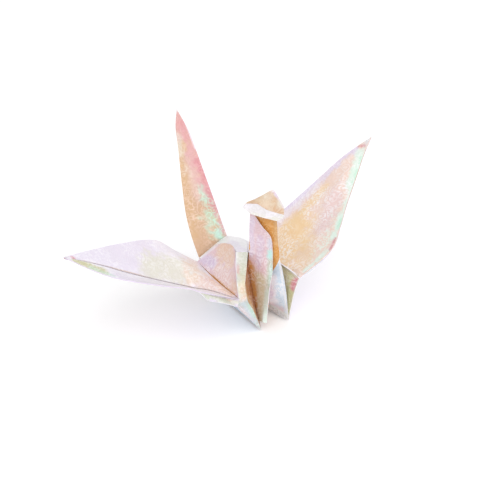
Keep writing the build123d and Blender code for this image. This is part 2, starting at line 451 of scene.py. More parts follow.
@dataclass
class PaperMill:
    """Makes plies into paper and joins them; its lengths are in millimetres."""

    material: bpy.types.Material
    cell: float = 0.42
    weld: float = 0.02
    sliver: float = 0.005
    seam_weld: float = 0.0005
    crisp_bend: float = math.radians(24)
    buckle_size: float = 4.2
    buckle_detail: float = 1.0
    calm_reach: float = 1.6
    plain_glints: float = 0.62
    sheets: list[bpy.types.Mesh] = field(default_factory=list)
    tree: bpy.types.NodeTree = field(init=False)

    def __post_init__(self) -> None:
        """Builds the tree that all plies share."""
        self.tree = self.ply_tree()

    def ply_tree(self) -> bpy.types.NodeTree:
        """Builds the Geometry Nodes tree that turns a ply's thin surface into paper.

        Returns:
            The tree, whose inputs are Thickness, Buckle, Buckle Size, Calm Reach and Seed.
        """
        wire = Wiring(bpy.data.node_groups.new("paper ply", "GeometryNodeTree"))
        wire.sockets("INPUT", "Geometry", "Surface")
        wire.sockets("INPUT", "Float", "Thickness", "Buckle", "Buckle Size", "Calm Reach", "Seed")
        wire.sockets("OUTPUT", "Geometry", "Paper")
        source = wire.add("NodeGroupInput").outputs

        def shifted(surface: bpy.types.NodeSocket,
                    by: bpy.types.NodeSocket) -> bpy.types.NodeSocket:
            """Moves a surface along its normals.

            Args:
                surface: the geometry.
                by: how far.

            Returns:
                The moved geometry.
            """
            normal = wire.add("GeometryNodeInputNormal").outputs["Normal"]
            step = wire.add("ShaderNodeVectorMath", {0: normal, "Scale": by}, operation="SCALE")
            return wire.add("GeometryNodeSetPosition", {
                "Geometry": surface, "Offset": step.outputs["Vector"]}).outputs["Geometry"]

        def marked(faces: bpy.types.NodeSocket, name: str, chosen: object) -> bpy.types.NodeSocket:
            """Geometry whose chosen faces carry a named mark."""
            return wire.add("GeometryNodeStoreNamedAttribute", {
                "Geometry": faces, "Name": name, "Value": chosen,
            }, data_type="BOOLEAN", domain="FACE").outputs["Geometry"]

        # The creases and the paper's edges stay straight, and the surface between them gives a bit
        fold = wire.add("GeometryNodeInputNamedAttribute", {"Name": "fold"}, data_type="BOOLEAN")
        creases = wire.add("GeometryNodeSeparateGeometry", {
            "Geometry": source["Surface"], "Selection": fold.outputs["Attribute"]}, domain="EDGE")
        near = wire.add("GeometryNodeProximity", {"Geometry": creases.outputs["Selection"]},
                        target_element="EDGES")
        calm = wire.add("ShaderNodeMapRange", {
            "Value": near.outputs["Distance"], "From Max": source["Calm Reach"],
        }, interpolation_type="SMOOTHSTEP")
        wave = wire.texture(wire.add("GeometryNodeInputPosition").outputs["Position"],
                            wire.math("DIVIDE", 1.0, source["Buckle Size"]),
                            self.buckle_detail, source["Seed"])
        swing = wire.math("MULTIPLY", wire.math("SUBTRACT", wave, NOISE_MIDDLE), source["Buckle"])
        buckled = shifted(source["Surface"], wire.math("MULTIPLY", swing, calm.outputs["Result"]))
        # The paper grows half its thickness to either side of the surface
        under = shifted(buckled, wire.math("MULTIPLY", source["Thickness"], -0.5))
        upper = wire.add("GeometryNodeExtrudeMesh", {
            "Mesh": under, "Offset Scale": source["Thickness"], "Individual": False}).outputs
        flipped = wire.add("GeometryNodeFlipFaces", {"Mesh": under}).outputs["Mesh"]
        joined = wire.add("GeometryNodeJoinGeometry", {
            "Geometry": marked(upper["Mesh"], "upper side", upper["Top"])})
        wire.fill(joined, {"Geometry": marked(flipped, "under side", True)})
        welded = wire.add("GeometryNodeMergeByDistance", {
            "Geometry": joined.outputs["Geometry"], "Distance": self.seam_weld})
        smooth = wire.add("GeometryNodeSetShadeSmooth", {"Geometry": welded.outputs["Geometry"]})
        bend = wire.add("GeometryNodeInputMeshEdgeAngle").outputs["Unsigned Angle"]
        soft = wire.add("FunctionNodeCompare", {"A": bend, "B": self.crisp_bend},
                        operation="LESS_THAN")
        edges = wire.add("GeometryNodeSetShadeSmooth", {
            "Geometry": smooth.outputs["Geometry"], "Shade Smooth": soft.outputs["Result"],
        }, domain="EDGE")
        real = wire.add("GeometryNodeRealizeInstances", {"Geometry": edges.outputs["Geometry"]})
        finish = wire.add("GeometryNodeSetMaterial", {
            "Geometry": real.outputs["Geometry"], "Material": self.material})
        wire.add("NodeGroupOutput", {"Paper": finish.outputs["Geometry"]})
        return wire.tree

    def surface(self, ply: Ply) -> bpy.types.Mesh:
        """Lays out a ply's thin surface, with its creases and edges marked.

        Args:
            ply: the layer.

        Returns:
            A mesh in millimetres in the folding frame.
        """
        form = bmesh.new()
        for number, facet in enumerate(ply.facets):
            rows = [[form.verts.new(place) for place in row] for row in facet.sample(self.cell)]
            for low, high in zip(rows, rows[1:]):
                for i in range(len(low) - 1):
                    face = form.faces.new((low[i], low[i + 1], high[i + 1], high[i]))
                    face.material_index = number
        bmesh.ops.remove_doubles(form, verts=form.verts, dist=self.weld)
        bmesh.ops.dissolve_degenerate(form, edges=form.edges, dist=self.sliver)
        # An edge is a fold unless it lies inside one facet, whose number its two faces carry
        form.edges.index_update()
        folds = [len(edge.link_faces) != 2
                 or edge.link_faces[0].material_index != edge.link_faces[1].material_index
                 for edge in form.edges]
        for face in form.faces:
            face.material_index = 0
        mesh = bpy.data.meshes.new(ply.name)
        form.to_mesh(mesh)
        form.free()
        mesh.attributes.new("fold", "BOOLEAN", "EDGE").data.foreach_set("value", folds)
        return mesh

    def make(self, ply: Ply, seed: float) -> None:
        """Turns a ply into paper and keeps it.

        Args:
            ply: the layer.
            seed: fixed seed of its buckles.
        """
        maker = bpy.data.objects.new(ply.name, self.surface(ply))
        bpy.context.scene.collection.objects.link(maker)
        modifier = maker.modifiers.new("paper", "NODES")
        modifier.node_group = self.tree
        values = {"Thickness": ply.thickness, "Buckle": ply.buckle * BUCKLE_GAIN,
                  "Buckle Size": self.buckle_size, "Calm Reach": self.calm_reach, "Seed": seed}
        for item in self.tree.interface.items_tree:
            if item.in_out == "INPUT" and item.name in values:
                modifier[item.identifier] = values[item.name]
        evaluated = maker.evaluated_get(bpy.context.evaluated_depsgraph_get())
        sheet = bpy.data.meshes.new_from_object(evaluated)
        maker.modifiers.remove(modifier)
        bpy.data.objects.remove(maker)
        self.paint(sheet, ply)
        self.sheets.append(sheet)
        LOG.info("%s: %d faces", ply.name, len(sheet.polygons))

    def paint(self, sheet: bpy.types.Mesh, ply: Ply) -> None:
        """Lays a ply's shades and its painted crest highlights into the mesh's tint and glint
        attributes.

        Args:
            sheet: the finished layer.
            ply: what it is made from.
        """
        for name in ("tint", "glint"):
            sheet.attributes.new(name, "FLOAT_COLOR", "CORNER")
        is_upper, is_under, tint, glint = (
            sheet.attributes[name].data for name in ("upper side", "under side", "tint", "glint"))
        kept: dict[tuple[int, Side], tuple[Colour, Colour]] = {}
        for face in sheet.polygons:
            side = Side.CUT
            if is_upper[face.index].value:
                side = Side.UPPER
            elif is_under[face.index].value:
                side = Side.UNDER
            for corner in face.loop_indices:
                vertex = sheet.loops[corner].vertex_index
                if (vertex, side) not in kept:
                    kept[vertex, side] = self.shades(sheet.vertices[vertex].co, ply, side)
                tint[corner].color, glint[corner].color = kept[vertex, side]

    def shades(self, place: Vector, ply: Ply, side: Side) -> tuple[Colour, Colour]:
        """Tint and painted-highlight glint of one place on one side of a ply.

        Args:
            place: the place in millimetres.
            ply: the layer.
            side: UPPER, UNDER or CUT, which takes no tints and no painted highlights.

        Returns:
            (tint, glint), each red, green, blue and alpha, which is the painted highlight's amount.
        """
        glint_shade = Vector(ply.glint_shade.linear())
        if side is Side.CUT:
            return (*ply.rim.linear(), 1.0), (*glint_shade, 0.0)
        base = ply.upper if side is Side.UPPER else ply.under
        colour = Vector(base.linear())
        for spot in ply.tints:
            if spot.covers(side):
                colour = colour.lerp(Vector(spot.shade.linear()), spot.weight(place))
        # Painted crest highlights cover the whole ply a little, and more in their spots
        amount = self.plain_glints
        for spot in ply.glints:
            if spot.covers(side):
                weight = spot.weight(place)
                glint_shade = glint_shade.lerp(Vector(spot.shade.linear()), weight)
                amount = max(amount, weight)
        return (*colour, 1.0), (*glint_shade, amount)

    def join(self, name: str) -> bpy.types.Object:
        """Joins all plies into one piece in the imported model's frame.

        Args:
            name: the piece's name.

        Returns:
            The object, at the origin, unturned and unscaled.
        """
        form = bmesh.new()
        for sheet in self.sheets:
            form.from_mesh(sheet)
        mesh = bpy.data.meshes.new(name)
        form.to_mesh(mesh)
        form.free()
        mesh.transform(Matrix.Translation(FOLD_ORIGIN * MM) @ Matrix.Scale(MM, 4))
        mesh.materials.append(self.material)
        piece = bpy.data.objects.new(name, mesh)
        bpy.context.scene.collection.objects.link(piece)
        return piece


@dataclass
class LeftWing:
    """The left wing, bent up in a shallow valley, with its slit on top."""

    tip: Point = (-37.4, 1.2, 23)
    slit: Rail = ((-30.7, 1.15, 19.2), (-25.1, 1.1, 15.6), (-13.2, 0.9, 8.7), (-11, -2.2, 9.1),
                  (-8.2, -7.5, 9.4))
    back: Rail = ((-31, 4.3, 20.5), (-23.6, 7.6, 17.5), (-15.2, 10.4, 13.9), (-11.6, 9.5, 10.9),
                  (-7.8, 8.4, 7.9))
    front: Rail = ((-33.5, -0.7, 20.3), (-29.5, -2.4, 18.1), (-22.9, -5.2, 16), (-17.8, -7.4, 14.8),
                   (-16.2, -8.3, 14.1))
    middle: Rail = ((-30.85, 2.7, 19.9), (-24.3, 4.35, 16.65), (-14.2, 5.6, 11.45),
                    (-11.3, 3.65, 10.1), (-8.4, 0.42, 8.68))
    lift: float = 0.42
    edge_lift: float = 0.16

    def plies(self) -> list[Ply]:
        """Lays out the wing's layers.

        Returns:
            The smooth under layer, the two flaps that meet at the slit, the small flap at the front
            of the root and a sheet of painted shade in the seam.
        """
        tip = self.tip
        slit = (tip,) + self.slit
        back = (tip,) + self.back
        front = (tip,) + self.front
        middle = (tip,) + self.middle
        under_slit = lifted(slit, (0, 0, -self.lift))
        under_middle = lifted(middle, (0, 0, -self.lift))
        under_back = lifted(back, (0, -0.1, -self.edge_lift))
        under_front = lifted(front, (0, 0.1, -self.edge_lift))
        flap_axis: Rail = ((-16.4, -8.1, 14.1), (-12.2, -7.2, 11.5), (-8.2, -7.3, 9.2))
        flap_low: Rail = ((-15, -8.8, 12.15), (-11.2, -8.8, 10.15), (-8.3, -7.3, 7.5))
        slit_front = (tip,) + lifted(self.slit, (-0.05, -0.2, -0.03))
        # The under layer's upper face, seen down the slit, is painted dark as the slit's shade
        sheet = Ply(
            "left_wing_under",
            (Facet((under_slit, under_middle, under_back)), Facet((under_front, under_slit))),
            upper=Shade.DEEP_SHADE, under=Shade.LILAC, thickness=0.1, buckle=0.02,
            tints=(
                Tint(Shade.PEACH, (-20, 6, 13), 9, 0.6, side=Side.UNDER),
                Tint(Shade.MINT, (-30, 2, 18), 5, 0.6, side=Side.UNDER),
                Tint(Shade.PINK, (-12, -6, 11), 4, 0.6, side=Side.UNDER),
            ),
        )
        behind = Ply(
            "left_wing_back_flap", (Facet((slit, middle, back)),),
            upper=Shade.PEARL, under=Shade.TAN, thickness=0.12,
            tints=(
                Tint(Shade.LILAC, (-33, 2.5, 21), 7, 0.4, end=(-20, 7, 15.5)),
                Tint(Shade.CREAM, (-18.5, 4.2, 12.6), 4.4, 0.95, end=(-12, 4, 9)),
                Tint(Shade.CREAM, (-21, 2.5, 13.8), 2.6, 0.8, end=(-14, 6.5, 10.6)),
                Tint(Shade.PEACH, (-11.5, 2, 8.6), 3.4, 0.65, end=(-9, -4, 9)),
                Tint(Shade.BLUSH, (-10, 0.5, 8.4), 2.2, 0.5, end=(-8.2, -6, 9.2)),
                Tint(Shade.MIST, (-37.4, 1.2, 23), 1.5, 0.8, ragged=0.1),
                Tint(Shade.ROSE, (-35.7, 1.25, 22.1), 0.75, 0.85, ragged=0.2),
                # A painted shadow line along the edge of the slit
                Tint(Shade.TAN, (-34, 1.2, 21), 0.3, 0.7, end=(-13.2, 0.9, 8.7), ragged=0.1),
                Tint(Shade.NACRE, (-11.5, 4.5, 9.4), 2.6, 0.6, end=(-9.5, 7.5, 8.8)),
                Tint(Shade.PEACH, (-10.4, 3.4, 8.6), 1, 0.8, end=(-8.6, -5.4, 9.1), ragged=0.2),
            ),
            glints=(Glints(Shade.WHITE, (-18, 4.5, 12.3), 5, 0.8),),
        )
        ahead = Ply(
            "left_wing_front_flap", (Facet((front, slit_front)),),
            upper=Shade.PEARL, under=Shade.TAN, thickness=0.12, buckle=0.06, rim=Shade.LILAC,
            tints=(
                Tint(Shade.OLIVE, (-35.4, 0.5, 21.9), 1.5, 0.9, end=(-31, -0.7, 19), ragged=0.2),
                Tint(Shade.MINT, (-33, -0.4, 20.2), 0.9, 0.5, end=(-29.5, -1.6, 18.3)),
                Tint(Shade.LILAC, (-28, -1.5, 17.5), 2.2, 0.6, end=(-18, -4.5, 13)),
                Tint(Shade.PEACH, (-13, -2, 9.9), 2, 0.4, end=(-9, -6.8, 9.4)),
                Tint(Shade.GREY, (-37.4, 1.2, 23), 1, 0.6, ragged=0.1),
            ),
        )
        flap = Ply(
            "left_wing_root_flap",
            (Facet((flap_low, flap_axis)),),
            upper=Shade.CREAM, under=Shade.PEARL, thickness=0.16, buckle=0.14,
            tints=(
                Tint(Shade.SAGE, (-15.5, -8.5, 13), 1.6, 0.8, end=(-11, -7.6, 10.4)),
                Tint(Shade.PEACH, (-10.5, -7, 9.9), 1.2, 0.8, ragged=0.3),
                Tint(Shade.LILAC, (-14.6, -8.8, 12.1), 0.55, 0.9, end=(-8.6, -7.4, 8), ragged=0.15),
            ),
        )
        # A sheet painted dark orange fills the gap at the wing's root seam as painted shade
        seam_shade = Ply(
            "left_wing_seam_shade",
            (Facet((((-8, 8, 7.75), (-8.75, 4, 8.15), (-8.9, 0.2, 8.5), (-8.7, -4, 8.8),
                     (-8.4, -7, 9.1)),
                    ((-7.7, 7.9, 7.8), (-7.8, 4, 8.3), (-7.85, 0, 8.65), (-7.9, -4, 8.95),
                     (-8, -7, 9.25)))),),
            upper=Shade.HOLLOW_SHADE, under=Shade.HOLLOW_SHADE, thickness=0.08, buckle=0, rim=Shade.HOLLOW_SHADE,
            glint_shade=Shade.HOLLOW_SHADE,
        )
        return [sheet, behind, ahead, flap, seam_shade]


@dataclass
class RightWing:
    """The right wing, smooth on top, with its two flaps beneath."""

    tip: Point = (28.6, 8, 23.5)
    back: Rail = ((25.3, 9, 21.3), (22.7, 9.5, 19.6), (17.8, 10.5, 15.5), (12.5, 11, 11.8),
                  (7.05, 11.2, 8.7), (2.97, 8.87, 6.3))
    axis: Rail = ((25.2, 7.1, 21.2), (22.4, 6.1, 19.3), (17.6, 4.2, 16), (13, 2.6, 13.1),
                  (8.6, 1.2, 10.6), (4.3, 0.3, 8.5))
    front: Rail = ((26.2, 6.4, 21.8), (23.1, 4.1, 18.9), (18.6, 0.1, 16.4), (14.9, -3.8, 15.2),
                   (10.4, -8, 13.9), (4.3, -7.5, 9.8))
    lift: float = 0.17

    def plies(self) -> list[Ply]:
        """Lays out the wing's layers.

        Returns:
            The smooth top layer, the flaps beneath and the small turned corner.
        """
        back = (self.tip,) + self.back
        axis = (self.tip,) + self.axis
        front = (self.tip,) + self.front
        down = (0.1, 0, -self.lift)
        top = Ply(
            "right_wing_top", (Facet((back, axis)), Facet((axis, front))),
            upper=Shade.NACRE, under=Shade.BLUSH, thickness=0.14, buckle=0.18, rim=Shade.NACRE,
            tints=(
                Tint(Shade.APRICOT, (4.6, 1, 8.8), 6.6, 0.95, end=(10, 5, 11.4)),
                Tint(Shade.AMBER, (5, 0.6, 9), 3, 0.3, end=(9.6, 5, 11.2), ragged=0.6),
                Tint(Shade.APRICOT, (10, 6.4, 11.2), 2, 0.8, end=(18, 7.4, 15.8), ragged=0.5),
                Tint(Shade.APRICOT, (6.5, -5, 10.6), 3, 0.6, end=(10, -1, 12)),
                Tint(Shade.BLUSH, (18.4, 3.6, 16.8), 2.6, 0.5, end=(13, -1, 13.8), ragged=0.6),
                Tint(Shade.LILAC, (25.6, 8.7, 21.4), 1.3, 0.85, end=(18.2, 9.9, 15.8), ragged=0.5),
                Tint(Shade.BLUSH, (18.2, 9.7, 15.7), 2.6, 0.5, end=(8, 9.9, 9.2), ragged=0.55),
                Tint(Shade.PEARL, (18.2, 9.9, 15.7), 2.3, 0.6, end=(8, 10.2, 9.2), ragged=0.6),
                Tint(Shade.LILAC, (18, 10.3, 15.6), 0.9, 0.8, end=(12.6, 10.8, 11.9), ragged=0.5),
                Tint(Shade.ICE, (26, 7, 21.6), 1.4, 0.9, end=(21.4, 3, 17.7), ragged=0.35),
                Tint(Shade.MINT, (25.4, 6, 21.2), 0.6, 0.6, end=(22, 3.2, 18.2), ragged=0.5),
                Tint(Shade.ICE, (21.4, 2.6, 17.5), 0.9, 0.8, end=(17.6, -0.8, 16), ragged=0.6),
                Tint(Shade.ICE, (16.9, -1.6, 15.8), 1.2, 0.95, end=(12.4, -5.6, 14.2), ragged=0.6),
                Tint(Shade.MINT, (16, -2.5, 15.5), 0.6, 0.7, end=(14.2, -4.2, 15), ragged=0.6),
                Tint(Shade.ICE, (10, -7.4, 13.4), 0.9, 0.85, end=(5.4, -7.4, 10.5), ragged=0.6),
                Tint(Shade.ROSE, (12.4, -6.2, 14.4), 0.6, 0.95, end=(10.5, -7.8, 13.9), ragged=0.3),
                Tint(Shade.ROSE, (26.9, 7.5, 22.3), 0.4, 0.85, end=(26.3, 8.4, 22.1), ragged=0.4),
                Tint(Shade.PINK, (8.6, -7.9, 12.6), 0.22, 0.8, end=(4.8, -7.6, 10.1), ragged=0.2),
                Tint(Shade.MIST, (28.6, 8, 23.5), 2.5, 1, ragged=0.1),
            ),
            glints=(
                Glints(Shade.WHITE, (20, 5, 17.6), 7, 1, end=(7, 0, 10)),
                Glints(Shade.ICE, (17, -1.2, 15.8), 2.8, 0.9, end=(8, -7.2, 12.2)),
                Glints(Shade.MINT, (23, 4.6, 19), 1.6, 0.8),
            ),
        )
        flaps = Ply(
            "right_wing_flaps",
            (Facet((lifted(back, down), lifted(axis, down))),
             Facet((lifted(axis, down), lifted(front, down)))),
            upper=Shade.TAN, under=Shade.LILAC, thickness=0.15,
            tints=(
                Tint(Shade.PEACH, (16, 2, 15), 6, 0.7, side=Side.UNDER),
                Tint(Shade.MINT, (10, 7, 10.4), 4, 0.6, side=Side.UNDER),
                # A painted shadow line along the split between the flaps, on their under side
                Tint(Shade.DEEP_SHADE, self.tip, 0.4, 0.8, end=(4.3, 0.3, 8.5),
                     ragged=0.1,
                        side=Side.UNDER),
            ),
            glints=(Glints(Shade.MINT, (15, 3, 14.4), 6, 0.6),),
        )
        corner = Ply(
            "right_wing_turned_corner",
            (Facet((((10.3, -8.1, 13.6), (7.9, -8.2, 11.9), (5.2, -7.8, 10.1)),
                    ((9, -8.3, 13), (7.1, -8.3, 11.5), (5, -7.8, 10)))),),
            upper=Shade.MINT, under=Shade.LILAC, thickness=0.14, buckle=0.03,
            tints=(
                Tint(Shade.WHITE, (10, -8.2, 13.4), 1, 0.8),
                Tint(Shade.BLUSH, (7, -8.2, 11.4), 1, 0.6),
            ),
        )
        return [top, flaps, corner]


@dataclass
class Body:
    """Walls, hump and gussets between the wings."""

    left_foot: Point = (-2.85, -5.95, 0)
    right_foot: Point = (2.95, -5.9, 0)
    left_notch: Point = (-3.4, 0.8, 0)
    right_notch: Point = (3.4, 0.8, 0)
    left_tail_foot: Point = (-4, 6.4, 0)
    right_tail_foot: Point = (4, 6.4, 0)
    left_back_root: Point = (-7.8, 8.4, 7.9)
    right_back_root: Point = (2.97, 8.87, 6.3)
    left_root: Point = (-8.35, 0.5, 8.1)
    right_root: Point = (4.4, 0.2, 8.5)
    left_front_root: Point = (-8.15, -7.1, 8)

    def walls(self) -> list[Ply]:
        """Lays out the two outer walls.

        Returns:
            The left and the right wall, from the bottom creases up to the wings.
        """
        # Its upper face, the inner one seen in the pocket beside the neck, is painted dark as shade
        left = Ply(
            "left_wall",
            (Facet(((self.left_foot, self.left_notch, self.left_tail_foot),
                    (self.left_front_root, self.left_root, self.left_back_root)), curved=False),),
            upper=Shade.DEEP_SHADE, under=Shade.BLUE, thickness=0.15, buckle=0.1,
            tints=(
                Tint(Shade.MINT, (-6, -6.6, 4.4), 1.8, 0.7, side=Side.UNDER),
                Tint(Shade.BLUSH, (-6.8, 0, 3.4), 3, 0.7, side=Side.UNDER),
                Tint(Shade.PEACH, (-5.8, 6, 4), 3, 0.7, side=Side.UNDER),
            ),
        )
        # Its upper face is the inner one, seen through the pocket right of the neck; its olive,
        # sand and orange are painted shade there
        right = Ply(
            "right_wall",
            (Facet((((4.1, -7.3, 9.2), self.right_root, self.right_back_root),
                    ((3.5, -7, 6.8), (4.1, 0.4, 5), (3.6, 7.6, 3.2)),
                    ((3, -6.1, 1.6), (3.4, 0.8, 0), self.right_tail_foot)), curved=False),
             Facet((((3, -6.1, 1.6), (3.4, 0.8, 0)),
                    (self.right_foot, self.right_notch)), curved=False)),
            upper=Shade.OLIVE, under=Shade.LILAC, thickness=0.15, buckle=0.06, rim=Shade.CREAM,
            tints=(
                Tint(Shade.SAND, (3.6, -4.6, 9.6), 1.6, 0.8, end=(3.4, -4.6, 5), ragged=0.2),
                Tint(Shade.HOLLOW_SHADE, (4, -1, 8), 2.6, 0.8, end=(3.6, -1.6, 2), ragged=0.2),
                Tint(Shade.ROSE, (4.1, -7.3, 9.5), 1, 1, end=(3.6, -7, 7.4), ragged=0.3),
                Tint(Shade.OLIVE, (3.3, -6.2, 6), 1, 0.9, end=(3.2, -6, 3), ragged=0.3),
                Tint(Shade.BLUE, (6, 2, 4), 4, 0.5, side=Side.UNDER),
            ),
        )
        return [left, right]

    def front_strips(self) -> list[Ply]:
        """Lays out the folded fronts of the walls.

        Returns:
            The folded front of the left wall, and the white fold right of the neck.
        """
        strip = Ply(
            "left_front_strip",
            (Facet((((-5.1, -1, 14.5), (-6.6, -3.8, 13.2), (-8, -6.5, 11.7), (-8.2, -7.45, 9.5),
                     (-8.1, -6.9, 7.3), (-5.63, -6.45, 3.74), (-2.95, -5.95, 0.05)),
                    ((-3, -1.6, 14.15), (-5.5, -5.4, 13.1), (-6.8, -7.2, 11.7), (-6.7, -7.5, 9.8),
                     (-6.2, -7.2, 8), (-4.9, -6.75, 5.4), (-2.8, -6, 0.05)))),),
            upper=Shade.FROST, under=Shade.HOLLOW_SHADE, buckle=0.04,
            tints=(
                Tint(Shade.CREAM, (-3.8, -1.8, 14.1), 2.2, 0.9, end=(-7.3, -7.3, 10.2), ragged=0.2),
                Tint(Shade.BUFF, (-5.4, -4.8, 13), 1.7, 0.85, end=(-6.9, -7.2, 10.8), ragged=0.3),
                Tint(Shade.SAGE, (-3.8, -1.8, 14.1), 1, 0.7, end=(-6, -5.2, 12.8), ragged=0.3),
                Tint(Shade.PINK, (-6.1, -3.4, 13.3), 0.5, 0.9, end=(-6.7, -4.6, 12.7), ragged=0.2),
                Tint(Shade.PEACH, (-7.2, -6.9, 11), 0.9, 0.8, end=(-7.3, -7.4, 9), ragged=0.3),
                Tint(Shade.WHITE, (-5.1, -1, 14.5), 0.24, 0.9, end=(-8, -6.5, 11.7), ragged=0.1),
                Tint(Shade.BLUSH, (-7.7, -6.9, 7), 0.8, 0.6, end=(-5, -6.4, 2.8)),
                Tint(Shade.MINT, (-6, -7, 7.2), 0.7, 0.5, end=(-4.4, -6.6, 4), ragged=0.6),
                Tint(Shade.BLUE, (-7.4, -7.2, 8.4), 0.5, 0.4, end=(-4.4, -6.4, 2.4), ragged=0.6),
            ),
        )
        right = Ply(
            "right_front_fold",
            (Facet((((2.25, -5, 11.65), (3.5, -6.8, 10.6), (4.2, -7.4, 9.5)),
                    ((1.9, -2.8, 11.6), (3, -5.1, 10.35), (4.05, -7.2, 9.2)))),),
            upper=Shade.BUFF, under=Shade.BUFF, buckle=0,
            tints=(
                Tint(Shade.PINK, (4.1, -7.3, 9.2), 0.8, 0.8, side=Side.BOTH),
                Tint(Shade.WHITE, (2.3, -4.9, 11.7), 0.5, 0.9, end=(3.7, -6.9, 10.4),
                     ragged=0.1,
                        side=Side.BOTH),
            ),
        )
        return [strip, right]

    def hump(self) -> list[Ply]:
        """Lays out the raised middle.

        Returns:
            The left face, its top band and the far half.
        """
        seam: Rail = ((-7.8, 8.4, 7.95), (-8, 4, 8.4), (-8.1, 0, 8.8), (-8.15, -4, 9.1),
                      (-8.2, -7.4, 9.5))
        crease: Rail = ((-7.1, 8.2, 8.6), (-4.5, 6.8, 11.4), (-4, 4, 13.1), (-4.6, 0.3, 14.4),
                        (-6.6, -3.7, 13.3))
        ridge: Rail = ((-7.4, 8.6, 8.4), (-2.5, 8, 11.6), (-2.1, 6.4, 12.7), (-1, 2.6, 13.6),
                       (-3, -1.5, 14.2))
        band_crease = crease[:-1] + ((-5, -1, 14.6),)
        far_ridge: Rail = ((-2.5, 8, 11.6), (-2.1, 6.4, 12.7), (-1, 2.6, 13.6),
                           (-2.9, -1.45, 14.15))
        far_low: Rail = ((2.97, 8.87, 6.4), (3.8, 5, 7.4), (4.4, 0.2, 8.6), (4.2, -4.4, 9.4))
        face = Ply(
            "hump_left_face",
            (Facet((seam[:-1] + ((-8.15, -7.2, 9.6),), crease)),
             Facet((((-8.15, -7.2, 9.6), (-8.2, -7.4, 9.6)),
                    ((-6.6, -3.7, 13.3), (-8, -6.5, 11.7))))),
            upper=Shade.BLUSH, under=Shade.HOLLOW_SHADE,
            tints=(
                Tint(Shade.PEACH, (-4.6, 4.2, 12), 3, 0.9, end=(-5.3, 0.6, 12.8), ragged=0.5),
                Tint(Shade.PEACH, (-7.4, -4.6, 9.8), 2, 0.8, end=(-7.2, -6, 10.8), ragged=0.4),
                Tint(Shade.VIOLET, (-7.2, 7.6, 8.9), 1.5, 0.7, end=(-6.8, 4.4, 9.6), ragged=0.3),
                Tint(Shade.PEARL, (-7.2, 8.3, 8.6), 0.5, 0.6, end=(-4.6, 6.9, 11.3), ragged=0.2),
                Tint(Shade.NACRE, (-7.4, 1, 10), 2.4, 0.5, end=(-7.4, -3, 10.6), ragged=0.5),
                # A painted shadow along the seam at the foot of the face
                Tint(Shade.HOLLOW_SHADE, (-8.05, 2.6, 8.4), 0.4, 0.9, end=(-8.15, -6, 9.35), ragged=0.1),
            ),
        )
        band = Ply(
            "hump_top_band", (Facet((band_crease, ridge)),),
            upper=Shade.WHITE, under=Shade.HOLLOW_SHADE,
            tints=(
                Tint(Shade.LILAC, (-3.4, 3.4, 13.6), 1.6, 0.45, end=(-4, -0.6, 14.3)),
                Tint(Shade.PEACH, (-4.2, 3.2, 13.2), 0.7, 0.5, ragged=0.4),
            ),
        )
        far = Ply(
            "hump_right_face", (Facet((far_ridge, far_low)),),
            upper=Shade.PEARL, under=Shade.HOLLOW_SHADE, buckle=0.16,
            tints=(
                Tint(Shade.PEACH, (1.6, 4, 10.6), 3, 0.8, end=(2, -0.5, 10.8)),
                Tint(Shade.MINT, (0.6, 6.8, 10.6), 1.8, 0.6),
            ),
            glints=(Glints(Shade.MINT, (1, 5, 11), 3, 0.8),),
        )
        return [face, band, far]

    def gussets(self) -> list[Ply]:
        """Lays out the gussets between the walls.

        Returns:
            The pair across the back, which is one layer, and the two at the front.
        """
        back = Ply(
            "back_gussets",
            (Facet((((-7.75, 8.2, 7.9), (-2.5, 7.95, 11.55), (2.95, 8.7, 6.4)),
                    ((-3.9, 5.9, 0.15), (0, 1.3, 2.5), (3.9, 5.9, 0.15))), curved=False),),
            upper=Shade.TAN, under=Shade.HOLLOW_SHADE, buckle=0.1,
            tints=(
                Tint(Shade.PINK, (-5, 7.4, 6), 2.6, 0.6),
                Tint(Shade.LILAC, (2.6, 7, 5), 2.4, 0.8),
            ),
            glints=(Glints(Shade.MINT, (-2, 6, 6.5), 3, 0.8),),
        )
        # Painted shade: dark on both faces, browner down its middle, lighter along its outer edge
        left = Ply(
            "front_left_gusset",
            (Facet((((-3, -1.5, 14.1), (-2.4, -0.4, 12), (-0.6, 0.6, 6), (0, 0.8, 0.9)),
                    ((-6.8, -7.1, 11.6), (-6.2, -6.9, 8), (-4.9, -6.5, 5.4), self.left_foot))),),
            upper=Shade.DEEP_SHADE, under=Shade.DEEP_SHADE, buckle=0.1,
            tints=(
                Tint(Shade.BROWN, (-3, -3, 8), 3, 0.6, end=(-2.4, -4.4, 1), side=Side.BOTH),
                Tint(Shade.SAND, (-6.4, -6.8, 11), 0.8, 0.8, end=(-3.4, -6, 1.6),
                     ragged=0.1,
                        side=Side.BOTH),
            ),
        )
        # Painted shade: the orange band down its middle and its dark under face
        right = Ply(
            "front_right_gusset",
            (Facet((((1, -1, 12.6), (0.6, -0.2, 10), (0.2, 0.6, 5), (0, 0.8, 0.9)),
                    ((4.05, -7.2, 9.2), (3.4, -6.8, 6.6), (3.1, -6.2, 3), self.right_foot))),),
            upper=Shade.OLIVE, under=Shade.DEEP_SHADE, buckle=0.1,
            tints=(
                Tint(Shade.HOLLOW_SHADE, (1.4, -2.6, 11), 2.4, 0.9, end=(1.4, -2.4, 4), ragged=0.1),
                Tint(Shade.BUFF, (2.8, -5, 9.8), 1.3, 0.9, end=(2.6, -4.6, 5), ragged=0.2),
                Tint(Shade.OLIVE, (3.2, -6.3, 6.4), 0.9, 0.95, end=(3, -6, 3), ragged=0.2),
                Tint(Shade.ROSE, (4, -7, 9.4), 1, 1, end=(3.5, -6.8, 7.4), ragged=0.3),
                Tint(Shade.GREY, (1.4, -2.6, 0.8), 1.4, 0.95, end=(2.9, -5.8, 0.3), ragged=0.2),
            ),
        )
        return [back, left, right]

    def plies(self) -> list[Ply]:
        """All layers of the body."""
        return self.walls() + self.front_strips() + self.hump() + self.gussets()


